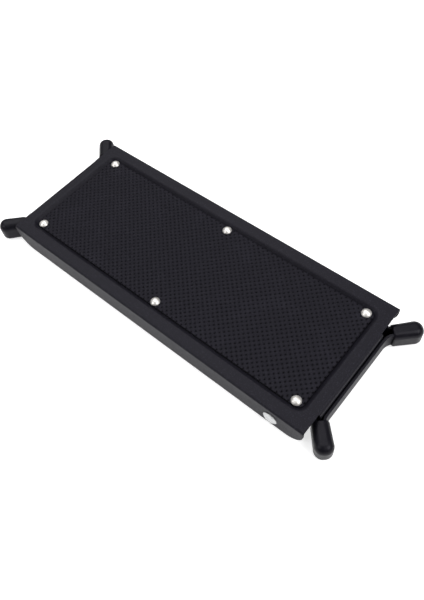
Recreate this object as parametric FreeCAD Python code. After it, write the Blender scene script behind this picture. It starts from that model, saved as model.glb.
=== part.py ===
"""Folding foot rest: a pressed steel platform on two scissor legs.

Millimetres, +Z up. The origin is on the floor under the middle of the platform, which lies
along X. The part is drawn folded flat: the outer leg has its feet at -X and is hinged to the
platform's side flanges at +X, the inner leg has its feet at +X and carries the lock bar at -X.
"near" is -Y and "far" is +Y.
"""
import FreeCAD
import Part
import math
import os

V = FreeCAD.Vector

# ---- platform ----
PLATE_LENGTH = 255.0
PLATE_WIDTH = 103.8
PLATE_SHEET = 1.2
FLANGE_DEPTH = 18.0          # side flange, from the top face to its lower edge
FLANGE_END_RADIUS = 13.0     # rounding of the flange's lower corners
BEND_RADIUS = 1.4            # outside of every platform bend
FLANGE_LIFT = 0.4            # lower edge of the flanges above the floor when folded
RIM_SIDE = 8.9               # flat rim beside the tread recess
RIM_END = 7.5
RECESS_DEPTH = 2.7
RECESS_RUN = 2.5             # plan width of the recess's sloped wall
RECESS_CORNER = 6.5
RECESS_EDGE_RADIUS = 2.0     # soft pressed edge between the rim and the sloped wall
END_RELIEF_NEAR = 15.5       # side face to the flange turned down at each end
END_RELIEF_FAR = 21.9
END_TAB_DEPTH = 7.5
END_TAB_PROUD = 1.3
END_TAB_BEND = 2.6           # outside of the end tabs' bend

# ---- tread mat and its rivets ----
MAT_THICKNESS = 1.6
MAT_GAP = 0.25                # mat edge to the foot of the recess wall
MAT_CORNER = 4.0
MAT_RIVET_FROM_END = 15.1
MAT_RIVET_FROM_SIDE = 14.8
MAT_RIVET_SHANK = 1.6        # radius
MAT_RIVET_HEAD = 3.25         # radius
MAT_RIVET_RISE = 2.1
MAT_RIVET_TAIL = 2.6         # radius
MAT_RIVET_TAIL_RISE = 1.1

# ---- notched racks under the platform ----
RACK_SHEET = 1.2
RACK_WIDTH = 9.6
RACK_CORNER = 2.4
RACK_SIDE_GAP = 0.4          # rack's outer edge to the end of the flat recess floor
RACK_END_MARGIN = 6.0        # strip past each of its rivets
LOCK_ANGLES = (30.0, 36.0, 41.5, 47.0)
TOOTH_GAP = 0.3              # bar to tooth tips as it passes under them
NOTCH_PLAY = 0.2
TOOTH_RAMP = 2.6
RACK_LEAF_MARGIN = 6.5       # toothed leaf past its first and last notch

# ---- legs ----
LEG_SHEET = 1.6
PIVOT_DROP = 10.0            # pivot line below the platform's top face
HINGE_FROM_END = 22.8        # hinge rivets, from the platform's +X end
ARM_WEB_GAP = 0.4            # inner leg's bare arms above the outer leg's web when folded
ARM_ROOF_GAP = 1.5           # least gap over the legs, under the recess floor
HINGE_GAP = 2.0              # side flange to outer leg
SCISSOR_GAP = 2.0            # outer leg to inner leg
WEB_FROM_MIDDLE = 17.0       # free edge of each leg's web
WEB_SHOULDER = 14.0          # length over which the lip narrows to the bare arm
LIP_GAP = 0.8                # end tab to the leg's cross lip
NECK_INSET = 5.7             # each leg is this much narrower, per side, behind its feet
NECK_RUN = 9.0
NECK_CLEAR = 2.0             # start of the neck past the end of the other leg's arm
NECK_RADIUS = 6.0

# ---- splayed feet ----
SPLAY_ANGLE = 46.5
PRONG_WIDTH = 7.0
CAP_START_PAST_END = 3.3     # middle of a cap's mouth, past the platform's end
CAP_LENGTH = 19.8
INNER_NEAR_TUCK = 2.4        # the inner leg's near foot is this much shorter along its prong
CAP_MOUTH_WIDTH = 10.8
CAP_TIP_WIDTH = 12.2
CAP_HEIGHT = 14.2
CAP_SOLE = 1.2
CAP_ROOF = 1.5
CAP_TOE = 4.4                # solid end beyond the prong
CAP_TIP_RADIUS = 5.5
CAP_TOP_RADIUS = 4.6
CAP_SOLE_RADIUS = 3.2
CAP_MOUTH_RADIUS = 1.1
CAP_FIT = 0.1                # cap's socket around the prong
ELBOW_RADIUS = 4.0           # arm into prong, outer side
ELBOW_TO_CAP = 0.4           # end of that bend to the cap's mouth
CROTCH_RADIUS = 10.0         # cross lip into prong, at most
CROTCH_IN_ROOM = 3.2         # that rounding against the straight prong before the cap's mouth
PRONG_CORNER = 1.0

# ---- pivots and lock bar (radii) ----
PIVOT_SHANK = 2.6
PIVOT_FIT = 0.05
SEAT_FIT = 0.05
HINGE_HEAD = 4.9
HINGE_HEAD_RISE = 2.0
PIVOT_TAIL = 3.9
PIVOT_TAIL_RISE = 1.2
WASHER = 4.6
WASHER_PLAY = 0.05           # each side of a washer
HEAD_RIM = 0.22              # upright edge of a rivet's head, as a share of its rise
TAIL_CROWN = 0.55            # flat middle of a formed tail, as a share of its radius
BAR_RADIUS = 2.0
BAR_NUT = 3.6
BAR_NUT_THICKNESS = 1.1

# ---- levels and places that follow from them ----
PLATE_TOP = FLANGE_LIFT + FLANGE_DEPTH
FLOOR_TOP = PLATE_TOP - RECESS_DEPTH
FLOOR_UNDER = FLOOR_TOP - PLATE_SHEET
PIVOT_Z = PLATE_TOP - PIVOT_DROP
LEG_BOTTOM = CAP_SOLE + CAP_FIT
ARM_OVER_WEB = PIVOT_Z - LEG_BOTTOM - LEG_SHEET - ARM_WEB_GAP
ARM_UNDER_FLOOR = FLOOR_UNDER - ARM_ROOF_GAP - PIVOT_Z
ARM_HALF_HEIGHT = min(ARM_OVER_WEB, ARM_UNDER_FLOOR)
LEG_TOP = PIVOT_Z + ARM_HALF_HEIGHT
PRONG_TOP = CAP_HEIGHT - CAP_ROOF - CAP_FIT
HALF_LENGTH = PLATE_LENGTH / 2
HALF_WIDTH = PLATE_WIDTH / 2
FLANGE_INSIDE = HALF_WIDTH - PLATE_SHEET
OUTER_HALF = FLANGE_INSIDE - HINGE_GAP
INNER_HALF = OUTER_HALF - LEG_SHEET - SCISSOR_GAP
HINGE_X = HALF_LENGTH - HINGE_FROM_END
LIP_X = HALF_LENGTH + END_TAB_PROUD + LIP_GAP
NECK_X = HINGE_X + ARM_HALF_HEIGHT + NECK_CLEAR
FLOOR_HALF_X = HALF_LENGTH - RIM_END - RECESS_RUN
FLOOR_HALF_Y = HALF_WIDTH - RIM_SIDE - RECESS_RUN
MAT_RIVET_X = HALF_LENGTH - MAT_RIVET_FROM_END
MAT_RIVET_Y = HALF_WIDTH - MAT_RIVET_FROM_SIDE
SIDES = {"near": -1, "far": 1}


def rounded_wire(points, radii):
    """Closed wire through points, with a tangent arc of the given radius at each corner."""
    edges = []
    arcs = []
    count = len(points)
    for i in range(count):
        corner = points[i]
        back = (points[i - 1] - corner).normalize()
        ahead = (points[(i + 1) % count] - corner).normalize()
        half_angle = back.getAngle(ahead) / 2
        if radii[i] <= 0:
            arcs.append((corner, None, corner))
            continue
        reach = radii[i] / math.tan(half_angle)
        middle = (back + ahead).normalize() * (radii[i] / math.sin(half_angle) - radii[i])
        arcs.append((corner + back * reach, corner + middle, corner + ahead * reach))
    for i in range(count):
        start, middle, end = arcs[i]
        if middle is not None:
            edges.append(Part.Arc(start, middle, end).toShape())
        following = arcs[(i + 1) % count][0]
        if end.distanceToPoint(following) > 1e-6:
            edges.append(Part.LineSegment(end, following).toShape())
    return Part.Wire(edges)


def inset(points, radii, distance):
    """The same flat outline (counter-clockwise in XY) moved inward by distance."""
    moved = []
    moved_radii = []
    count = len(points)
    for i in range(count):
        into = (points[i] - points[i - 1]).normalize()
        out = (points[(i + 1) % count] - points[i]).normalize()
        turn = into.x * out.y - into.y * out.x
        normal = V(-into.y, into.x, 0)
        slide = (1 - into.dot(out)) / turn
        moved.append(points[i] + (normal + into * -slide) * distance)
        sign = -1 if turn > 0 else 1
        moved_radii.append(max(radii[i] + sign * distance, 0))
    return moved, moved_radii


def prism(points, radii, bottom, top):
    """Solid between two heights over a rounded outline drawn at z = 0."""
    face = Part.Face(rounded_wire(points, radii))
    face.translate(V(0, 0, bottom))
    return face.extrude(V(0, 0, top - bottom))


def rectangle(half_x, half_y):
    return [V(-half_x, -half_y, 0), V(half_x, -half_y, 0), V(half_x, half_y, 0), V(-half_x, half_y, 0)]


def rounded_box(half_x, half_y, corner, bottom, top):
    return prism(rectangle(half_x, half_y), [corner] * 4, bottom, top)


def pan(grow, top, bottom):
    """Tapered block with the plan of the tread recess, grown sideways by grow."""
    wires = []
    for half_x, half_y, corner, z in (
        (FLOOR_HALF_X + RECESS_RUN + grow, FLOOR_HALF_Y + RECESS_RUN + grow, RECESS_CORNER + grow, top),
        (FLOOR_HALF_X + grow, FLOOR_HALF_Y + grow, RECESS_CORNER - RECESS_RUN + grow, bottom),
    ):
        wire = rounded_wire(rectangle(half_x, half_y), [corner] * 4)
        wire.translate(V(0, 0, z))
        wires.append(wire)
    return Part.makeLoft(wires, True, True)


def upright(points, radii, start, thickness):
    """Solid from an outline in XZ (given as x, z pairs), standing between two Y values."""
    wire = rounded_wire([V(x, start, z) for x, z in points], radii)
    return Part.Face(wire).extrude(V(0, thickness, 0))


def hole_y(radius, x, z):
    """Cylinder right across the part along Y."""
    return Part.makeCylinder(radius, 2 * PLATE_WIDTH, V(x, -PLATE_WIDTH, z), V(0, 1, 0))


def rivet(shank, grip, head, head_rise, tail, tail_rise):
    """Rivet along Z: domed head seated at z = 0, formed tail below the grip."""
    rim = head_rise * HEAD_RIM
    cap = head_rise - rim
    ball = (head * head + cap * cap) / (2 * cap)
    shoulder = V(head / 2, 0, head_rise - ball + math.sqrt(ball * ball - head * head / 4))
    end = -grip - tail_rise
    corners = [(0, head_rise), (0, end), (tail * TAIL_CROWN, end), (tail, end + tail_rise / 2),
               (tail, -grip), (shank, -grip), (shank, 0), (head, 0), (head, rim)]
    profile = [Part.Arc(V(head, 0, rim), shoulder, V(0, 0, head_rise)).toShape()]
    for (x, z), (next_x, next_z) in zip(corners, corners[1:]):
        profile.append(Part.LineSegment(V(x, 0, z), V(next_x, 0, next_z)).toShape())
    return Part.Face(Part.Wire(profile)).revolve(V(0, 0, 0), V(0, 0, 1), 360)


def across(shape, x, y, z, side):
    """Turn a shape's +Z outwards to the near or far side and put its origin at x, y, z."""
    shape.rotate(V(0, 0, 0), V(1, 0, 0), -90 * side)
    shape.translate(V(x, y, z))
    return shape


def washer(x, inner_y, outer_y, side):
    """Flat ring round a pivot shank, filling the gap between two faces."""
    length = outer_y - inner_y - 2 * WASHER_PLAY
    ring = Part.makeCylinder(WASHER, length)
    ring = ring.cut(Part.makeCylinder(PIVOT_SHANK + PIVOT_FIT, length))
    return across(ring, x, side * (inner_y + WASHER_PLAY), PIVOT_Z, side)


# ---- platform pieces ----
def mat_rivet_places():
    """Name, x, y and the level under which each mat rivet is closed."""
    under_rack = FLOOR_UNDER - RACK_SHEET
    places = []
    for side, sign in SIDES.items():
        for end, x, under in (
            ("left", -MAT_RIVET_X, under_rack),
            ("middle", 0.0, under_rack),
            ("right", MAT_RIVET_X, FLOOR_UNDER),
        ):
            places.append((f"mat_rivet_{side}_{end}", x, sign * MAT_RIVET_Y, under))
    return places


def drill_mat_holes(shape):
    for _, x, y, _ in mat_rivet_places():
        drill = Part.makeCylinder(MAT_RIVET_SHANK + SEAT_FIT, PLATE_TOP, V(x, y, 0))
        shape = shape.cut(drill)
    return shape


def side_channel():
    """Top sheet with its two side flanges, as one bent section."""
    outside = HALF_WIDTH
    inside = FLANGE_INSIDE
    low = PLATE_TOP - FLANGE_DEPTH
    under = PLATE_TOP - PLATE_SHEET
    section = [(-outside, low), (-outside, PLATE_TOP), (outside, PLATE_TOP), (outside, low),
               (inside, low), (inside, under), (-inside, under), (-inside, low)]
    inner_bend = BEND_RADIUS - PLATE_SHEET
    radii = [0, BEND_RADIUS, BEND_RADIUS, 0, 0, inner_bend, inner_bend, 0]
    wire = rounded_wire([V(-HALF_LENGTH, y, z) for y, z in section], radii)
    channel = Part.Face(wire).extrude(V(PLATE_LENGTH, 0, 0))
    silhouette = [(-HALF_LENGTH, PLATE_TOP), (HALF_LENGTH, PLATE_TOP),
                  (HALF_LENGTH, low), (-HALF_LENGTH, low)]
    rounds = [0, 0, FLANGE_END_RADIUS, FLANGE_END_RADIUS]
    return channel.common(upright(silhouette, rounds, -HALF_WIDTH, PLATE_WIDTH))


def end_tab(direction):
    """Flange turned down at one end of the top sheet."""
    root = HALF_LENGTH + END_TAB_PROUD - END_TAB_BEND
    face = HALF_LENGTH + END_TAB_PROUD
    back = face - PLATE_SHEET
    under = PLATE_TOP - PLATE_SHEET
    low = PLATE_TOP - END_TAB_DEPTH
    outline = [(root, PLATE_TOP), (face, PLATE_TOP), (face, low), (back, low), (back, under), (root, under)]
    outline = [(direction * x, z) for x, z in outline]
    radii = [0, END_TAB_BEND, 0, 0, END_TAB_BEND - PLATE_SHEET, 0]
    near = END_RELIEF_NEAR - HALF_WIDTH
    far = HALF_WIDTH - END_RELIEF_FAR
    return upright(outline, radii, near, far - near)


def end_notch(direction):
    """What the top sheet loses at one end where its tab bends down."""
    length = 2 * END_TAB_BEND
    near = END_RELIEF_NEAR - HALF_WIDTH
    far = HALF_WIDTH - END_RELIEF_FAR
    block = Part.makeBox(length, far - near, END_TAB_DEPTH)
    start = HALF_LENGTH + END_TAB_PROUD - END_TAB_BEND
    block.translate(V(start if direction > 0 else -start - length, near, PLATE_TOP - END_TAB_DEPTH))
    return block


def recess_rim_edges(shape):
    """Edges where the flat rim turns down into the recess."""
    found = []
    for edge in shape.Edges:
        box = edge.BoundBox
        level = abs(box.ZMin - PLATE_TOP) < 1e-4 and abs(box.ZMax - PLATE_TOP) < 1e-4
        inside_x = max(abs(box.XMin), abs(box.XMax)) < HALF_LENGTH - RIM_END + 1e-3
        inside_y = max(abs(box.YMin), abs(box.YMax)) < HALF_WIDTH - RIM_SIDE + 1e-3
        if level and inside_x and inside_y:
            found.append(edge)
    return found


def top_plate():
    slope = math.atan2(RECESS_DEPTH, RECESS_RUN)
    grow = PLATE_SHEET * math.tan(slope / 2)
    plate = side_channel().cut([end_notch(1), end_notch(-1)])
    plate = plate.fuse([end_tab(1), end_tab(-1)])
    plate = plate.fuse(pan(grow, PLATE_TOP - PLATE_SHEET, FLOOR_UNDER))
    plate = plate.cut(pan(0, PLATE_TOP, FLOOR_TOP)).removeSplitter()
    plate = plate.makeFillet(RECESS_EDGE_RADIUS, recess_rim_edges(plate))
    plate = plate.cut(hole_y(PIVOT_SHANK + SEAT_FIT, HINGE_X, PIVOT_Z))
    return drill_mat_holes(plate)


def tread_mat():
    half_x = FLOOR_HALF_X - MAT_GAP
    half_y = FLOOR_HALF_Y - MAT_GAP
    return drill_mat_holes(rounded_box(half_x, half_y, MAT_CORNER, FLOOR_TOP, FLOOR_TOP + MAT_THICKNESS))


def mat_rivet(x, y, under):
    seat = FLOOR_TOP + MAT_THICKNESS
    shape = rivet(MAT_RIVET_SHANK, seat - under, MAT_RIVET_HEAD, MAT_RIVET_RISE,
                  MAT_RIVET_TAIL, MAT_RIVET_TAIL_RISE)
    shape.translate(V(x, y, seat))
    return shape


def bar_x(angle):
    """Where the lock bar is along X when the legs stand at an angle to the platform."""
    return HINGE_X * (1 - 2 * math.cos(math.radians(angle)))


def toothed_leaf(y):
    """Hanging leaf of a rack: one notch per height, steep on the side that takes the load."""
    tip = PIVOT_Z + BAR_RADIUS + TOOTH_GAP
    root = FLOOR_UNDER - RACK_SHEET
    stops = [bar_x(angle) for angle in LOCK_ANGLES]
    first = stops[0] - RACK_LEAF_MARGIN
    last = stops[-1] + RACK_LEAF_MARGIN + TOOTH_RAMP
    lead = root - tip
    outline = [(first - lead, FLOOR_UNDER), (first - lead, root), (first, tip)]
    for stop in stops:
        wall = stop - BAR_RADIUS - NOTCH_PLAY
        outline += [(wall, tip), (wall, root), (stop + BAR_RADIUS / 2, root),
                    (stop + BAR_RADIUS + TOOTH_RAMP, tip)]
    outline += [(last, tip), (last + lead, root), (last + lead, FLOOR_UNDER)]
    return upright(outline, [0] * len(outline), y, RACK_SHEET)


def rack(side):
    """Strip under the recess floor, held by the left and middle mat rivets, with its toothed leaf."""
    sign = SIDES[side]
    slope = math.atan2(RECESS_DEPTH, RECESS_RUN)
    outer = FLOOR_HALF_Y + PLATE_SHEET * math.tan(slope / 2) - RACK_SIDE_GAP
    half_x = (MAT_RIVET_X + 2 * RACK_END_MARGIN) / 2
    strip = rounded_box(half_x, RACK_WIDTH / 2, RACK_CORNER, FLOOR_UNDER - RACK_SHEET, FLOOR_UNDER)
    strip.translate(V(-MAT_RIVET_X / 2, sign * (outer - RACK_WIDTH / 2), 0))
    inner_face = sign * (outer - RACK_WIDTH)
    leaf = toothed_leaf(inner_face if sign > 0 else inner_face - RACK_SHEET)
    return drill_mat_holes(strip.fuse(leaf).removeSplitter())


def hinge_rivet(side):
    grip = HALF_WIDTH - (OUTER_HALF - LEG_SHEET) + PIVOT_FIT
    shape = rivet(PIVOT_SHANK, grip, HINGE_HEAD, HINGE_HEAD_RISE, PIVOT_TAIL, PIVOT_TAIL_RISE)
    return across(shape, HINGE_X, SIDES[side] * HALF_WIDTH, PIVOT_Z, SIDES[side])


# ---- legs, drawn with their feet at +X ----
def tuck(half_width, sign):
    """How much shorter one foot is than the others, along its prong."""
    return INNER_NEAR_TUCK if half_width == INNER_HALF and sign < 0 else 0.0


def foot_axis(half_width, sign):
    """Middle of a cap's mouth and the direction of its prong, drawn on the far side."""
    angle = math.radians(SPLAY_ANGLE)
    neck = half_width - NECK_INSET - tuck(half_width, sign) * math.sin(angle)
    from_elbow = ELBOW_RADIUS * math.tan(angle / 2) + ELBOW_TO_CAP
    rise = from_elbow * math.sin(angle) - PRONG_WIDTH / 2 * math.cos(angle)
    past_end = CAP_START_PAST_END - tuck(half_width, sign) * math.cos(angle)
    start = V(HALF_LENGTH + past_end, neck + rise, 0)
    return start, V(math.cos(angle), math.sin(angle), 0)


def meet_level(point, direction, axis, value):
    """Point where a plan line crosses x = value (axis 0) or y = value (axis 1)."""
    step = (value - point[axis]) / direction[axis]
    return point + direction * step


def crotch_radius(half_width, sign):
    """Rounding of the cross lip into a prong, less where the cap's mouth comes close to the lip."""
    start, direction = foot_axis(half_width, sign)
    room = (start.x + PRONG_WIDTH / 2 * direction.y - LIP_X - LEG_SHEET) / direction.x
    return min(CROTCH_RADIUS, CROTCH_IN_ROOM * room)


def leg_side(half_width, sign):
    """Half of a leg's plan, from its web's free edge to its cross lip, drawn on the far side."""
    start, direction = foot_axis(half_width, sign)
    outward = V(-direction.y, direction.x, 0) * (PRONG_WIDTH / 2)
    tip = start + direction * (CAP_LENGTH - CAP_TOE)
    neck = half_width - NECK_INSET - tuck(half_width, sign) * direction.y
    elbow = meet_level(start + outward, direction, 1, neck)
    crotch = meet_level(start - outward, direction, 0, LIP_X + LEG_SHEET)
    return [V(WEB_FROM_MIDDLE, half_width, 0), V(NECK_X, half_width, 0), V(NECK_X + NECK_RUN, neck, 0),
            elbow, tip + outward, tip - outward, crotch]


def leg_outline(half_width):
    """Plan of a leg's pressed tray: web, two splayed prongs and the cross lip between them."""
    far = leg_side(half_width, 1)
    near = [V(p.x, -p.y, 0) for p in leg_side(half_width, -1)]
    radii = [0, NECK_RADIUS, NECK_RADIUS, ELBOW_RADIUS, PRONG_CORNER, PRONG_CORNER]
    near_crotch, far_crotch = [crotch_radius(half_width, sign) for sign in (-1, 1)]
    return near + far[::-1], radii + [near_crotch, far_crotch] + radii[::-1]


def leg_tray(half_width):
    """Web with lips turned up all round except along its free edge."""
    points, radii = leg_outline(half_width)
    tray = prism(points, radii, LEG_BOTTOM, LEG_TOP)
    inner, inner_radii = inset(points, radii, LEG_SHEET)
    # the pocket runs out through the web's free edge, which has no lip
    inner[0] = V(inner[0].x - 2 * LEG_SHEET, inner[0].y, 0)
    inner[-1] = V(inner[-1].x - 2 * LEG_SHEET, inner[-1].y, 0)
    return tray.cut(prism(inner, inner_radii, LEG_BOTTOM + LEG_SHEET, LEG_TOP))


def prong_clearance(half_width, sign):
    """Block above one prong, where its lips are lower so that the cap goes over them."""
    start, _ = foot_axis(half_width, sign)
    block = Part.makeBox(2 * CAP_LENGTH, 2 * CAP_TIP_WIDTH, LEG_TOP, V(0, -CAP_TIP_WIDTH, 0))
    block.translate(V(-SEAT_FIT - LEG_SHEET, 0, PRONG_TOP))
    block.rotate(V(0, 0, 0), V(0, 0, 1), sign * SPLAY_ANGLE)
    block.translate(V(start.x, sign * start.y, 0))
    return block


def leg_arm(half_width, sign):
    """Bare side arm from the tray to the end pivot, with a full round end."""
    end = -HINGE_X - ARM_HALF_HEIGHT
    low = PIVOT_Z - ARM_HALF_HEIGHT
    join = WEB_FROM_MIDDLE + LEG_SHEET
    outline = [(join, LEG_BOTTOM), (join, LEG_TOP), (end, LEG_TOP), (end, low),
               (WEB_FROM_MIDDLE - WEB_SHOULDER, low), (WEB_FROM_MIDDLE, LEG_BOTTOM)]
    y = half_width - LEG_SHEET if sign > 0 else -half_width
    return upright(outline, [0, 0, ARM_HALF_HEIGHT, ARM_HALF_HEIGHT, 0, 0], y, LEG_SHEET)


def leg(half_width, end_hole, middle_hole):
    """One pressed leg: tray, two arms, and the holes for its end pivot and the scissor pivot."""
    body = leg_tray(half_width).fuse([leg_arm(half_width, 1), leg_arm(half_width, -1)])
    for sign in SIDES.values():
        body = body.cut(prong_clearance(half_width, sign))
    body = body.cut([hole_y(end_hole, -HINGE_X, PIVOT_Z), hole_y(middle_hole, 0, PIVOT_Z)])
    return body.removeSplitter()


def foot_cap(half_width, sign):
    """Moulded boot over one prong: wider at the toe, flat sole, soft upper edges."""
    mouth = CAP_MOUTH_WIDTH / 2
    toe = CAP_TIP_WIDTH / 2
    outline = [V(0, -mouth, 0), V(CAP_LENGTH, -toe, 0), V(CAP_LENGTH, toe, 0), V(0, mouth, 0)]
    boot = prism(outline, [0, CAP_TIP_RADIUS, CAP_TIP_RADIUS, 0], 0, CAP_HEIGHT)
    boot = soften(boot, CAP_HEIGHT, CAP_TOP_RADIUS)
    boot = soften(boot, 0, CAP_SOLE_RADIUS)
    boot = boot.makeFillet(CAP_MOUTH_RADIUS, [edge for edge in boot.Edges if edge.BoundBox.XMax < 1e-3])
    reach = CAP_LENGTH - CAP_TOE + CAP_FIT
    half = PRONG_WIDTH / 2 + CAP_FIT
    socket = Part.makeBox(reach, 2 * half, PRONG_TOP + CAP_FIT - CAP_SOLE, V(0, -half, CAP_SOLE))
    boot = boot.cut(socket)
    start, _ = foot_axis(half_width, sign)
    boot.rotate(V(0, 0, 0), V(0, 0, 1), sign * SPLAY_ANGLE)
    boot.translate(V(start.x, sign * start.y, 0))
    return boot


def soften(boot, level, radius):
    """Round the side and toe edges of a boot at one level, leaving its mouth square."""
    edges = []
    for edge in boot.Edges:
        box = edge.BoundBox
        if abs(box.ZMin - level) < 1e-4 and abs(box.ZMax - level) < 1e-4 and box.XMax > 1e-3:
            edges.append(edge)
    return boot.makeFillet(radius, edges)


def turned(shape):
    """The same shape with its feet at the other end."""
    shape.rotate(V(0, 0, 0), V(0, 0, 1), 180)
    return shape


def scissor_rivet(side):
    grip = OUTER_HALF - (INNER_HALF - LEG_SHEET) + PIVOT_FIT
    shape = rivet(PIVOT_SHANK, grip, PIVOT_TAIL, PIVOT_TAIL_RISE, PIVOT_TAIL, PIVOT_TAIL_RISE)
    return across(shape, 0, SIDES[side] * OUTER_HALF, PIVOT_Z, SIDES[side])


def lock_bar():
    reach = INNER_HALF + SEAT_FIT + BAR_NUT_THICKNESS
    return Part.makeCylinder(BAR_RADIUS, 2 * reach, V(-HINGE_X, -reach, PIVOT_Z), V(0, 1, 0))


def bar_nut(side):
    """Push-on ring that keeps the lock bar in the inner leg's arms."""
    ring = Part.makeCylinder(BAR_NUT, BAR_NUT_THICKNESS)
    ring = ring.cut(Part.makeCylinder(BAR_RADIUS + SEAT_FIT, BAR_NUT_THICKNESS))
    return across(ring, -HINGE_X, SIDES[side] * (INNER_HALF + SEAT_FIT), PIVOT_Z, SIDES[side])


def pieces():
    """Every piece of the foot rest, by node name."""
    made = {"top_plate": top_plate(), "tread_mat": tread_mat()}
    for name, x, y, under in mat_rivet_places():
        made[name] = mat_rivet(x, y, under)
    made["leg_outer"] = turned(leg(OUTER_HALF, PIVOT_SHANK + PIVOT_FIT, PIVOT_SHANK + SEAT_FIT))
    made["leg_inner"] = leg(INNER_HALF, BAR_RADIUS + SEAT_FIT, PIVOT_SHANK + PIVOT_FIT)
    made["lock_bar"] = lock_bar()
    for side, sign in SIDES.items():
        made[f"rack_{side}"] = rack(side)
        made[f"hinge_rivet_{side}"] = hinge_rivet(side)
        made[f"hinge_washer_{side}"] = washer(HINGE_X, OUTER_HALF, FLANGE_INSIDE, sign)
        made[f"scissor_rivet_{side}"] = scissor_rivet(side)
        made[f"scissor_washer_{side}"] = washer(0, INNER_HALF, OUTER_HALF - LEG_SHEET, sign)
        made[f"bar_nut_{side}"] = bar_nut(side)
        made[f"foot_cap_outer_{side}"] = turned(foot_cap(OUTER_HALF, -sign))
        made[f"foot_cap_inner_{side}"] = foot_cap(INNER_HALF, sign)
    return made


def main():
    os.makedirs("parts", exist_ok=True)
    for name, shape in pieces().items():
        if not shape.isValid() or len(shape.Solids) != 1:
            print("check", name, "valid:", shape.isValid(), "solids:", len(shape.Solids))
        shape.exportStep(f"parts/{name}.step")
        print(f"{name}: {shape.Volume:.0f} mm3")


main()
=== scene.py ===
"""Finishes, tread mat and studio stage for a folding foot rest, laid out as an add-on.

Metres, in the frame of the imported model: +Z is up, the platform lies along X, "near" is -Y.
"""
import math

import bmesh
import bpy
from bpy.props import FloatProperty, FloatVectorProperty, PointerProperty
from mathutils import Matrix, Vector, noise


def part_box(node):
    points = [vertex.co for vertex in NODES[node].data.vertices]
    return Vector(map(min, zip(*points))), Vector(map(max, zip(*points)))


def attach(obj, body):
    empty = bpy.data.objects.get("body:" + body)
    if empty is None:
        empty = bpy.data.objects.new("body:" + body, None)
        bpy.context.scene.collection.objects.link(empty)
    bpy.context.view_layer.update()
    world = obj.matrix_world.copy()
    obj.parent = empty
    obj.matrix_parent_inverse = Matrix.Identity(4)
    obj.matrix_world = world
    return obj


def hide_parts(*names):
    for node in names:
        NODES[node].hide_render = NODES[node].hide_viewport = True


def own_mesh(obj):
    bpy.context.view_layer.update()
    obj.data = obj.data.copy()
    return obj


bl_info = {
    "name": "Folding Foot Rest",
    "version": (1, 0, 0),
    "blender": (4, 5, 0),
    "location": "3D View > Sidebar > Foot Rest",
    "description": "Tread mat, finishes and studio stage for a folding foot rest",
    "category": "Object",
}

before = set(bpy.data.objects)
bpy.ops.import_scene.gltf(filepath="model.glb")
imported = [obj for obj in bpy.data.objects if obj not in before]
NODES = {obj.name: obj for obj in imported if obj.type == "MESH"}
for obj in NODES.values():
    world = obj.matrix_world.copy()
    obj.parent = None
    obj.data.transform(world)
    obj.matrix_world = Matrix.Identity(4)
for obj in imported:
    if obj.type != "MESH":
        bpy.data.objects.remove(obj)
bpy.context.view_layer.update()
MM = 0.001


# ---- the CAD nodes, by finish ----
def named(*starts):
    """CAD nodes whose names begin with any of the given words."""
    return sorted(name for name in NODES if name.startswith(starts))


MAT_LOW, MAT_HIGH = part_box("tread_mat")
MAT_RIVETS = named("mat_rivet")
BOOTS = named("foot_cap")
ENAMELLED = ["top_plate", "leg_outer", "leg_inner", "rack_near", "rack_far"]
PLATED = named("hinge_rivet", "scissor_rivet", "hinge_washer", "scissor_washer", "lock_bar", "bar_nut")

# ---- sizes and places that a user has no need to change ----
RIB_ANGLE = math.radians(45)    # of the ribs to the platform's sides
CORNER_SIDES = 5                # short sides that round each corner of the mat
CUT_TOLERANCE = 1e-7            # within which a point counts as on a cut
UNDERSIDE = 1e-6                # height over the lowest level within which a point is on the underside
RIPPLES = 60                    # ripples of the mat in a metre

GLINT_SHARE = 0.5               # how strongly the enamel's specks show
ENAMEL_UNEVEN = 0.15            # how far the enamel's roughness follows its grain
GRAIN_MIDDLE = 0.5              # the grain's mask where it neither adds nor takes away
GRAIN_SPAN = (0.3, 0.7)         # values that most of the grain's mask lies between
SCUFF_SPAN = (0.52, 0.72)       # noise values at which a scuff starts and is at its full strength

FLOOR_REACH = 3.0               # half the side of the floor
FLOOR_ROUGHNESS = 0.9
NEAR_LIMIT = 0.01               # nearest that the camera sees
LIGHTS = {                      # where each light stands, its width and its height
    "key": ((-0.55, 0.40, 1.25), 1.4, 1.4),
    "fill": ((0.88, 0.20, 1.02), 0.8, 0.8),
    "side": ((-0.55, -0.85, 0.95), 0.6, 0.35),
}


# ---- properties ----
def length(name, description, default, **limits):
    """A size in metres."""
    return FloatProperty(name=name, description=description, default=default,
                         unit="LENGTH", precision=5, **limits)


def colour(name, description, default):
    """A colour, as red, green and blue."""
    return FloatVectorProperty(name=name, description=description, default=default,
                               size=3, min=0.0, max=1.0, subtype="COLOR")


def share(name, description, default):
    """A value from 0 to 1."""
    return FloatProperty(name=name, description=description, default=default,
                         min=0.0, max=1.0, subtype="FACTOR")


def point(name, description, default):
    """A place in the scene."""
    return FloatVectorProperty(name=name, description=description, default=default,
                               size=3, subtype="TRANSLATION", unit="LENGTH")


def power(name, description, default):
    """A light's power in watts."""
    return FloatProperty(name=name, description=description, default=default,
                         min=0.0, subtype="POWER")


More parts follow.
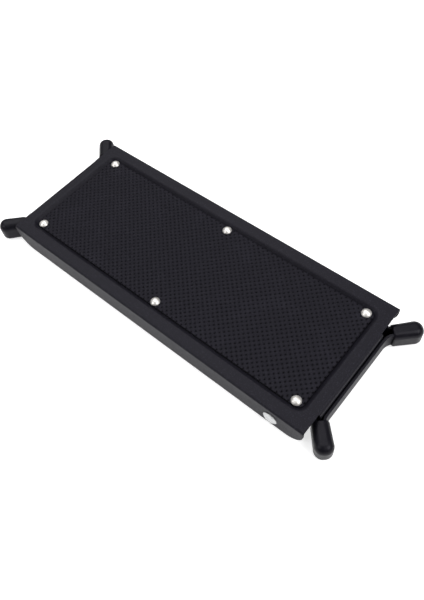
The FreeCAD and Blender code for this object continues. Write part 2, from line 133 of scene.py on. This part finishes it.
class FootRestTread(bpy.types.PropertyGroup):
    """Sizes of the tread mat's moulded lattice."""
    pitch: length("Rib pitch", "Distance between parallel ribs", 2.95 * MM, min=0.5 * MM)
    bar: length("Bar rise", "Rise of a rib between two pits over the crossings", 0.22 * MM)
    pit_radius: length("Pit radius", "Radius of a pit's mouth", 0.72 * MM)
    flank: length("Flank", "Width of a pit's sloping wall", 0.18 * MM)
    pit: length("Pit depth", "Depth of a pit below the ribs", 0.90 * MM)
    dimple: length("Dimple", "How far a rivet pulls the mat down", 0.30 * MM)
    dimple_reach: length("Dimple reach", "Radius over which it is pulled down", 6.0 * MM)
    ripple: length("Ripple", "Unevenness of the mat's surface", 0.10 * MM)
    corner: length("Corner", "Radius of the mat's corners", 4.0 * MM)


class FootRestFinish(bpy.types.PropertyGroup):
    """Colours, roughness and shine of the finishes."""
    highlight: colour("Highlights", "Tint of the highlights on enamel and rubber", (0.93, 0.91, 1.0))
    enamel: colour("Enamel", "Black stoving enamel on the pressed steel", (0.0098, 0.0093, 0.0134))
    enamel_roughness: share("Enamel roughness", "Roughness of the enamel", 0.48)
    enamel_shine: share("Enamel shine", "Strength of the enamel's highlights", 0.142)
    rib_top: colour("Rib tops", "Rubber on the worn rib tops", (0.0108, 0.0102, 0.0147))
    # The pits' colour is painted shade, much darker than the rubber's own.
    pit_shade: colour("Pit shade", "Rubber at the bottom of the pits", (0.0010, 0.0010, 0.0013))
    tread_shine: share("Tread shine", "Strength of the mat's highlights", 0.13)
    boot: colour("Boots", "Moulded boots on the feet", (0.0052, 0.0049, 0.0077))
    boot_roughness: share("Boot roughness", "Roughness of the boots", 0.36)
    boot_shine: share("Boot shine", "Strength of the boots' highlights", 0.165)
    bright: colour("Bright steel", "Polished rivet heads", (0.90, 0.875, 0.84))
    plated: colour("Plated steel", "Zinc plated pivot rivets, washers, bar and rings", (0.52, 0.525, 0.53))


class FootRestStage(bpy.types.PropertyGroup):
    """Camera, floor and lights."""
    eye: point("Eye", "Where the camera stands", (0.18271, -0.15540, 0.33565))
    aim: point("Aim", "Point that the camera looks at", (0.029385, -0.014096, 0.0184))
    roll: FloatProperty(name="Roll", description="Camera's tilt about its line of sight",
                        default=math.radians(-8.62), subtype="ANGLE")
    lens: FloatProperty(name="Lens", description="Focal length, on a 36 mm frame",
                        default=35.25, unit="CAMERA")
    floor: colour("Floor", "Pale studio floor", (0.80, 0.80, 0.80))
    glow: share("Floor glow", "Light that the floor itself gives, which softens the shadows", 0.86)
    world: share("Surround", "Brightness of the plain surround", 0.10)
    key: power("Key light", "Power of the large light over the left end", 14.5)
    fill: power("Fill light", "Power of the smaller light beyond the right end", 10.0)
    side: power("Side light", "Power of the light on the near side", 4.5)


# ---- shader graphs ----
MIX_INPUTS = (0, 6, 7)          # sockets of a Mix node that take its factor and two colours
MIX_RESULT = 2                  # the socket that gives the mixed colour


class Graph:
    """Short way to add and join shader nodes in a tree."""

    def __init__(self, tree):
        self.tree = tree

    def feed(self, target, value):
        """Joins a node's output to a socket, or sets the socket's value."""
        if isinstance(value, bpy.types.NodeSocket):
            self.tree.links.new(value, target)
        else:
            target.default_value = value

    def add(self, kind, values=(), **settings):
        """A new node, with its inputs fed by name."""
        node = self.tree.nodes.new(kind)
        for key, value in settings.items():
            setattr(node, key, value)
        for key, value in dict(values).items():
            self.feed(node.inputs[key], value)
        return node

    def math(self, operation, *terms):
        """The result of a sum or comparison."""
        node = self.add("ShaderNodeMath", operation=operation)
        for target, value in zip(node.inputs, terms):
            self.feed(target, value)
        return node.outputs[0]

    def spread(self, value, span, low=0.0, high=1.0):
        """A value that runs from low to high as the given one crosses the span."""
        ends = {"From Min": span[0], "From Max": span[1], "To Min": low, "To Max": high}
        return self.add("ShaderNodeMapRange", {"Value": value, **ends}).outputs["Result"]

    def mix(self, factor, first, second):
        """A colour between two others."""
        node = self.add("ShaderNodeMix", data_type="RGBA")
        for socket, value in zip(MIX_INPUTS, (factor, first, second)):
            self.feed(node.inputs[socket], value)
        return node.outputs[MIX_RESULT]


def rgba(values):
    """A colour with full cover."""
    return (*values, 1.0)


def shade(values, factor):
    """A colour made lighter or darker by a factor."""
    return rgba(min(1.0, value * factor) for value in values)


# ---- node groups that the finishes share ----
FLOAT = "NodeSocketFloat"
VECTOR = "NodeSocketVector"


def new_group(name, inputs, outputs):
    """An empty group with its sockets: inputs by name and default, after the vector, and outputs by name."""
    group = bpy.data.node_groups.new(name, "ShaderNodeTree")
    group.interface.new_socket("Vector", in_out="INPUT", socket_type=VECTOR)
    for label, default in inputs.items():
        group.interface.new_socket(label, in_out="INPUT", socket_type=FLOAT).default_value = default
    for label in outputs:
        group.interface.new_socket(label, in_out="OUTPUT", socket_type=FLOAT)
    graph = Graph(group)
    return group, graph, graph.add("NodeGroupInput").outputs, graph.add("NodeGroupOutput").inputs


def grain_group():
    """Two sizes of soft unevenness, as a height and as a mask."""
    group, graph, given, made = new_group(
        "Surface grain", {"Coarse": 300.0, "Fine": 2500.0, "Fine share": 0.4}, ["Height", "Mask"])
    coarse = graph.add("ShaderNodeTexNoise", {"Vector": given["Vector"], "Scale": given["Coarse"],
                                              "Detail": 2.0})
    fine = graph.add("ShaderNodeTexNoise", {"Vector": given["Vector"], "Scale": given["Fine"],
                                            "Detail": 1.0})
    weighted = graph.math("MULTIPLY", fine.outputs["Fac"], given["Fine share"])
    graph.feed(made["Height"], graph.math("ADD", coarse.outputs["Fac"], weighted))
    graph.feed(made["Mask"], coarse.outputs["Fac"])
    return group


def glint_speck_group():
    """Scattered fine specks, as a mask for the enamel's painted glints."""
    group, graph, given, made = new_group("Flakes", {"Scale": 2600.0, "Amount": 0.12}, ["Mask"])
    cells = graph.add("ShaderNodeTexVoronoi", {"Vector": given["Vector"], "Scale": given["Scale"]})
    lit = graph.add("ShaderNodeSeparateColor", {"Color": cells.outputs["Color"]}).outputs["Red"]
    limit = graph.math("SUBTRACT", 1.0, given["Amount"])
    graph.feed(made["Mask"], graph.math("GREATER_THAN", lit, limit))
    return group


def scuff_group():
    """Long faint rubbed streaks, as a mask."""
    group, graph, given, made = new_group("Scuffs", {"Scale": 60.0, "Amount": 0.5}, ["Mask"])
    streaks = graph.add("ShaderNodeTexNoise", {"Vector": given["Vector"], "Scale": given["Scale"],
                                               "Detail": 6.0, "Roughness": 0.7, "Distortion": 1.5})
    rubbed = graph.spread(streaks.outputs["Fac"], SCUFF_SPAN)
    graph.feed(made["Mask"], graph.math("MULTIPLY", rubbed, given["Amount"]))
    return group


# ---- finishes ----
class Surface:
    """A material in the making, with the grain and the scuffs that every finish has."""

    def __init__(self, name, coarse, fine, scuff_scale, scuff_amount):
        self.material = bpy.data.materials.new(name)
        self.material.use_nodes = True
        self.shader = self.material.node_tree.nodes["Principled BSDF"]
        self.graph = Graph(self.material.node_tree)
        self.place = self.graph.add("ShaderNodeTexCoord").outputs["Object"]
        grain = self.effect("Surface grain", grain_group, coarse=coarse, fine=fine)
        self.height, self.grain = grain["Height"], grain["Mask"]
        self.scuffs = self.effect("Scuffs", scuff_group, scale=scuff_scale, amount=scuff_amount)["Mask"]

    def effect(self, name, maker, **values):
        """The outputs of a shared group, which is built when it is first asked for."""
        node = self.graph.add("ShaderNodeGroup", node_tree=bpy.data.node_groups.get(name) or maker())
        self.graph.feed(node.inputs["Vector"], self.place)
        for key, value in values.items():
            self.graph.feed(node.inputs[key.capitalize()], value)
        return node.outputs

    def feed(self, name, value):
        """Joins or sets one of the shader's own sockets."""
        self.graph.feed(self.shader.inputs[name], value)

    def highlights(self, tint, strength):
        """Tint and strength of the highlights, the same all over."""
        self.feed("Specular Tint", rgba(tint))
        self.feed("Specular IOR Level", strength)

    def rubbed(self, values, factor):
        """A colour that is lighter or darker by a factor on the scuffs."""
        return self.graph.mix(self.scuffs, rgba(values), shade(values, factor))

    def grained(self, low, high):
        """A roughness that follows the grain from low to high."""
        return self.graph.spread(self.grain, GRAIN_SPAN, low, high)

    def duller(self, roughness, extra):
        """A roughness with something more on the scuffs."""
        return self.graph.math("ADD", roughness, self.graph.math("MULTIPLY", self.scuffs, extra))

    def bump(self, distance, strength):
        """Raises the grain."""
        node = self.graph.add("ShaderNodeBump", {"Height": self.height, "Distance": distance,
                                                 "Strength": strength})
        self.feed("Normal", node.outputs["Normal"])


def enamel_material(finish):
    """Black enamel with a fine grain, faint lighter specks painted as glints, and rubbed streaks."""
    surface = Surface("black_enamel", coarse=700.0, fine=3200.0, scuff_scale=45.0, scuff_amount=0.35)
    surface.highlights(finish.highlight, finish.enamel_shine)
    graph = surface.graph
    glint_mask = surface.effect("Flakes", glint_speck_group, scale=2600.0, amount=0.10)["Mask"]
    # Painted glints: the specks lighten the enamel's colour to stand in for the sparkle of its fine texture.
    specks = graph.math("MULTIPLY", glint_mask, GLINT_SHARE)
    rubbed = surface.rubbed(finish.enamel, factor=1.5)
    surface.feed("Base Color", graph.mix(specks, rubbed, shade(finish.enamel, factor=3.0)))
    uneven = graph.math("MULTIPLY", graph.math("SUBTRACT", surface.grain, GRAIN_MIDDLE), ENAMEL_UNEVEN)
    roughness = graph.math("ADD", uneven, finish.enamel_roughness)
    surface.feed("Roughness", surface.duller(roughness, extra=0.12))
    surface.bump(distance=0.04 * MM, strength=0.22)
    return surface.material


def tread_material(finish, low, high):
    """Rubber with painted shade in the pits, darkest below low, and its own colour on the ribs above high,
    lighter where worn.
    """
    surface = Surface("tread_rubber", coarse=900.0, fine=4200.0, scuff_scale=30.0, scuff_amount=0.5)
    surface.highlights(finish.highlight, finish.tread_shine)
    graph = surface.graph
    level = graph.add("ShaderNodeSeparateXYZ", {"Vector": surface.place}).outputs["Z"]
    raised = graph.spread(level, (low, high))
    # Painted shade: the colour darkens from the rib tops' own colour down to the pits' painted shade colour.
    base = graph.mix(raised, rgba(finish.pit_shade), rgba(finish.rib_top))
    worn = graph.math("MULTIPLY", surface.scuffs, raised)
    surface.feed("Base Color", graph.mix(worn, base, shade(finish.rib_top, factor=1.6)))
    surface.feed("Roughness", surface.grained(low=0.52, high=0.68))
    surface.bump(distance=0.14 * MM, strength=0.8)
    return surface.material


def boot_material(finish):
    """Smooth moulded rubber, a little scuffed."""
    surface = Surface("boot_rubber", coarse=500.0, fine=3600.0, scuff_scale=120.0, scuff_amount=0.6)
    surface.highlights(finish.highlight, finish.boot_shine)
    surface.feed("Base Color", surface.rubbed(finish.boot, factor=1.7))
    roughness = surface.grained(low=finish.boot_roughness - 0.04, high=finish.boot_roughness + 0.06)
    surface.feed("Roughness", surface.duller(roughness, extra=0.15))
    surface.bump(distance=0.07 * MM, strength=0.4)
    return surface.material


def rivet_material(finish):
    """Polished steel, darker where it is scratched."""
    surface = Surface("bright_steel", coarse=900.0, fine=5000.0, scuff_scale=400.0, scuff_amount=0.8)
    surface.feed("Metallic", 0.85)
    surface.feed("Base Color", surface.rubbed(finish.bright, factor=0.7))
    surface.feed("Roughness", surface.grained(low=0.42, high=0.56))
    surface.bump(distance=0.05 * MM, strength=0.3)
    return surface.material


def plated_material(finish):
    """Zinc plate, darker where it is rubbed."""
    surface = Surface("zinc_plate", coarse=400.0, fine=3000.0, scuff_scale=150.0, scuff_amount=0.7)
    surface.feed("Metallic", 1.0)
    surface.feed("Base Color", surface.rubbed(finish.plated, factor=0.75))
    surface.feed("Roughness", surface.grained(low=0.30, high=0.46))
    surface.bump(distance=0.05 * MM, strength=0.3)
    return surface.material


def coat(names, material):
    """Gives CAD nodes a finish."""
    for name in names:
        slots = NODES[name].data.materials
        slots.clear()
        slots.append(material)


# ---- tread mat ----
def add_object(name, data):
    """A new object in the scene, at the origin."""
    made = bpy.data.objects.new(name, data)
    bpy.context.scene.collection.objects.link(made)
    return made


def lattice(tread):
    """Flat grid of square cells, turned to the ribs' angle and a little larger than the mat."""
    half = (MAT_HIGH - MAT_LOW) / 2
    reach = (half.x + half.y) / math.sqrt(2)
    cells = 2 * math.ceil(reach / tread.pitch) + 2
    bm = bmesh.new()
    bmesh.ops.create_grid(bm, x_segments=cells, y_segments=cells, size=cells * tread.pitch / 2)
    bmesh.ops.rotate(bm, verts=bm.verts, matrix=Matrix.Rotation(RIB_ANGLE, 3, "Z"))
    bmesh.ops.translate(bm, verts=bm.verts, vec=(0, 0, MAT_HIGH.z))
    outside = []
    for face in bm.faces:
        centre = face.calc_center_median()
        if abs(centre.x) > half.x + tread.pitch or abs(centre.y) > half.y + tread.pitch:
            outside.append(face)
    bmesh.ops.delete(bm, geom=outside, context="FACES")
    return bm


def raise_bars(bm, tread):
    """A middle point on every rib, left high, with the crossings between them a little lower."""
    bmesh.ops.subdivide_edges(bm, edges=bm.edges[:], cuts=1)
    crossings = [vert for vert in bm.verts if len(vert.link_edges) > 2]
    bmesh.ops.translate(bm, verts=crossings, vec=(0, 0, -tread.bar))


def sink_pits(bm, tread):
    """A round pit inside each cell."""
    cells = bm.faces[:]
    bmesh.ops.inset_individual(bm, faces=cells, thickness=tread.pitch / 2 - tread.pit_radius)
    for face in cells:
        centre = face.calc_center_median()
        for vert in face.verts:
            out = vert.co - centre
            vert.co = centre + out.normalized() * tread.pit_radius
    bmesh.ops.inset_individual(bm, faces=cells, thickness=tread.flank, depth=-tread.pit)


def outline_planes(half, corner):
    """Normals and offsets of the mat's straight sides and of the short sides that round its corners."""
    planes = [(Vector((sx, 0, 0)), half.x) for sx in (-1, 1)]
    planes += [(Vector((0, sy, 0)), half.y) for sy in (-1, 1)]
    for sx in (-1, 1):
        for sy in (-1, 1):
            centre = Vector((sx * (half.x - corner), sy * (half.y - corner), 0))
            for side in range(1, CORNER_SIDES + 1):
                angle = math.pi / 2 * side / (CORNER_SIDES + 1)
                normal = Vector((sx * math.cos(angle), sy * math.sin(angle), 0))
                planes.append((normal, centre.dot(normal) + corner))
    return planes


def trim(bm, tread):
    """Cuts the lattice to the mat's outline, right through the pits at its edge."""
    for normal, offset in outline_planes((MAT_HIGH - MAT_LOW) / 2, tread.corner):
        bmesh.ops.bisect_plane(bm, geom=bm.verts[:] + bm.edges[:] + bm.faces[:], dist=CUT_TOLERANCE,
                               plane_co=normal * offset, plane_no=normal, clear_outer=True)


def close_below(bm):
    """Walls down from the rim of the top, and a flat underside."""
    rim = [edge for edge in bm.edges if edge.is_boundary]
    walls = bmesh.ops.extrude_edge_only(bm, edges=rim)["geom"]
    low = {item for item in walls if isinstance(item, bmesh.types.BMVert)}
    for vert in low:
        vert.co.z = MAT_LOW.z
    loop = [item for item in walls if isinstance(item, bmesh.types.BMEdge)
            and all(vert in low for vert in item.verts)]
    bmesh.ops.contextual_create(bm, geom=loop)
    bmesh.ops.recalc_face_normals(bm, faces=bm.faces)


def rivet_centres():
    """Middles of the mat's rivets, seen from above."""
    corners = [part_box(name) for name in MAT_RIVETS]
    return [((low + high) / 2).xy for low, high in corners]


def press_down(bm, tread):
    """Pulls the mat down round its rivets and lets it ripple a little."""
    rivets = rivet_centres()
    for vert in bm.verts:
        if vert.co.z < MAT_LOW.z + UNDERSIDE:
            continue
        nearest = min((vert.co.xy - centre).length for centre in rivets)
        pull = max(0.0, 1 - nearest / tread.dimple_reach) ** 2
        wave = noise.noise(Vector((vert.co.x * RIPPLES, vert.co.y * RIPPLES, 0)))
        vert.co.z -= tread.dimple * pull + tread.ripple * (0.5 + 0.5 * wave)


def finish_mesh(bm, name, body, material):
    """Makes a smooth piece of the mesh, on its body and in its material slot."""
    mesh = bpy.data.meshes.new(name)
    bm.to_mesh(mesh)
    bm.free()
    mesh.materials.append(material)
    for polygon in mesh.polygons:
        polygon.use_smooth = True
    piece = add_object(name, mesh)
    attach(piece, body)
    return piece


# ---- stage ----
def look(eye, aim, roll=0.0):
    """Placement of something at eye that points at aim."""
    turn = (aim - eye).to_track_quat("-Z", "Y").to_matrix().to_4x4()
    return Matrix.Translation(eye) @ turn @ Matrix.Rotation(roll, 4, "Z")


def add_camera(stage):
    """The camera, looking down at the folded foot rest."""
    data = bpy.data.cameras.new("camera")
    data.lens = stage.lens
    data.clip_start = NEAR_LIMIT
    camera = add_object("camera", data)
    camera.matrix_world = look(Vector(stage.eye), Vector(stage.aim), stage.roll)
    bpy.context.scene.camera = camera


def add_light(name, eye, width, height, watts):
    """A soft rectangular light that points at the middle of the scene."""
    data = bpy.data.lights.new(name, "AREA")
    data.shape = "RECTANGLE"
    data.size = width
    data.size_y = height
    data.energy = watts
    add_object(name, data).matrix_world = look(Vector(eye), Vector((0, 0, 0)))


def floor_material(stage):
    """Matt floor that gives some light of its own."""
    material = bpy.data.materials.new("studio_floor")
    material.use_nodes = True
    sockets = material.node_tree.nodes["Principled BSDF"].inputs
    sockets["Base Color"].default_value = rgba(stage.floor)
    sockets["Emission Color"].default_value = rgba(stage.floor)
    sockets["Emission Strength"].default_value = stage.glow
    sockets["Roughness"].default_value = FLOOR_ROUGHNESS
    return material


def add_floor(stage):
    """Pale floor under the boots."""
    bm = bmesh.new()
    bmesh.ops.create_grid(bm, x_segments=1, y_segments=1, size=FLOOR_REACH)
    mesh = bpy.data.meshes.new("floor")
    bm.to_mesh(mesh)
    bm.free()
    mesh.materials.append(floor_material(stage))
    floor = add_object("floor", mesh)
    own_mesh(floor)


def add_world(stage):
    """A plain white surround."""
    world = bpy.data.worlds.new("surround")
    world.use_nodes = True
    background = world.node_tree.nodes["Background"]
    background.inputs["Color"].default_value = (1.0, 1.0, 1.0, 1.0)
    background.inputs["Strength"].default_value = stage.world
    bpy.context.scene.world = world
    bpy.context.scene.view_settings.view_transform = "Standard"


# ---- operators ----
class FOOTREST_OT_steelwork(bpy.types.Operator):
    """Enamels the platform, the legs and the racks"""
    bl_idname = "footrest.steelwork"
    bl_label = "Enamel the Steelwork"

    def execute(self, context):
        coat(ENAMELLED, enamel_material(context.scene.footrest_finish))
        return {"FINISHED"}


class FOOTREST_OT_tread_mat(bpy.types.Operator):
    """Makes the tread mat with its diagonal ribs and pits"""
    bl_idname = "footrest.tread_mat"
    bl_label = "Make the Tread Mat"

    def execute(self, context):
        tread = context.scene.footrest_tread
        bm = lattice(tread)
        raise_bars(bm, tread)
        sink_pits(bm, tread)
        trim(bm, tread)
        close_below(bm)
        press_down(bm, tread)
        lowest_rib = MAT_HIGH.z - tread.bar - tread.ripple - tread.dimple
        # Painted shade darkens the mat from its lowest rib down to half a pit's depth below it.
        material = tread_material(context.scene.footrest_finish, lowest_rib - tread.pit / 2, lowest_rib)
        piece = finish_mesh(bm, "tread_mat_ribbed", "platform", material)
        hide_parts("tread_mat")
        return {"FINISHED"}


class FOOTREST_OT_rivets(bpy.types.Operator):
    """Polishes the six rivets of the mat"""
    bl_idname = "footrest.rivets"
    bl_label = "Finish the Rivets"

    def execute(self, context):
        coat(MAT_RIVETS, rivet_material(context.scene.footrest_finish))
        return {"FINISHED"}


class FOOTREST_OT_boots(bpy.types.Operator):
    """Finishes the moulded boots on the four feet"""
    bl_idname = "footrest.boots"
    bl_label = "Finish the Boots"

    def execute(self, context):
        coat(BOOTS, boot_material(context.scene.footrest_finish))
        return {"FINISHED"}


class FOOTREST_OT_hardware(bpy.types.Operator):
    """Plates the pivot rivets, the washers, the lock bar and its rings"""
    bl_idname = "footrest.hardware"
    bl_label = "Finish the Small Hardware"

    def execute(self, context):
        coat(PLATED, plated_material(context.scene.footrest_finish))
        return {"FINISHED"}


class FOOTREST_OT_stage(bpy.types.Operator):
    """Sets up the pale floor, the soft lights and the camera"""
    bl_idname = "footrest.stage"
    bl_label = "Set the Stage"

    def execute(self, context):
        stage = context.scene.footrest_stage
        add_camera(stage)
        add_world(stage)
        add_floor(stage)
        for name, (eye, width, height) in LIGHTS.items():
            add_light(name, eye, width, height, getattr(stage, name))
        return {"FINISHED"}


class FOOTREST_PT_panel(bpy.types.Panel):
    """Buttons that make each group of pieces, and the values that they use"""
    bl_idname = "FOOTREST_PT_panel"
    bl_label = "Foot Rest"
    bl_space_type = "VIEW_3D"
    bl_region_type = "UI"
    bl_category = "Foot Rest"

    def draw(self, context):
        for operator in OPERATORS:
            self.layout.operator(operator.bl_idname)
        scene = context.scene
        for group in (scene.footrest_tread, scene.footrest_finish, scene.footrest_stage):
            box = self.layout.box()
            for key in group.bl_rna.properties.keys():
                if key not in {"rna_type", "name"}:
                    box.prop(group, key)


OPERATORS = (
    FOOTREST_OT_steelwork,
    FOOTREST_OT_tread_mat,
    FOOTREST_OT_rivets,
    FOOTREST_OT_boots,
    FOOTREST_OT_hardware,
    FOOTREST_OT_stage,
)
CLASSES = (FootRestTread, FootRestFinish, FootRestStage, *OPERATORS, FOOTREST_PT_panel)


def register():
    """Adds the add-on's classes and its values on the scene."""
    for item in CLASSES:
        bpy.utils.register_class(item)
    bpy.types.Scene.footrest_tread = PointerProperty(type=FootRestTread)
    bpy.types.Scene.footrest_finish = PointerProperty(type=FootRestFinish)
    bpy.types.Scene.footrest_stage = PointerProperty(type=FootRestStage)


def unregister():
    """Takes them away again."""
    del bpy.types.Scene.footrest_stage
    del bpy.types.Scene.footrest_finish
    del bpy.types.Scene.footrest_tread
    for item in reversed(CLASSES):
        bpy.utils.unregister_class(item)


def main():
    """Makes everything, in order."""
    register()
    bpy.ops.footrest.steelwork()
    bpy.ops.footrest.tread_mat()
    bpy.ops.footrest.rivets()
    bpy.ops.footrest.boots()
    bpy.ops.footrest.hardware()
    bpy.ops.footrest.stage()


if __name__ == "__main__":
    main()
